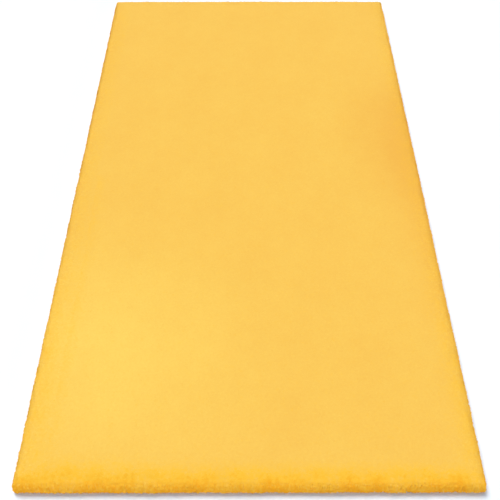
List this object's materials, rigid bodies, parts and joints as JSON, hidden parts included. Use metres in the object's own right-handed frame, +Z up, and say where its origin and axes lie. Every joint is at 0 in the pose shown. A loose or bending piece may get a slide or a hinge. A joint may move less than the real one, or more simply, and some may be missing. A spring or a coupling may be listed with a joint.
{
  "type": "faux fur rug",
  "caption": "Rectangular plush faux fur floor rug with small rounded corners, a level soft pile and loose locks of pile all round its rim.",
  "frame": {"origin": "middle of the underside, on the floor", "axes": "+Y along the rug's length, +X across its width, +Z up from the floor through the pile"},
  "size_m": [0.8012, 1.5014, 0.0297],
  "materials": {
    "pile": "dense warm yellow plush pile about 25 mm long, matt and soft with a faint sheen at the tips, on a plain yellow knitted ground cloth"
  },
  "bodies": {
    "root": {"fur_rug": "pile"}
  },
  "joints": []
}
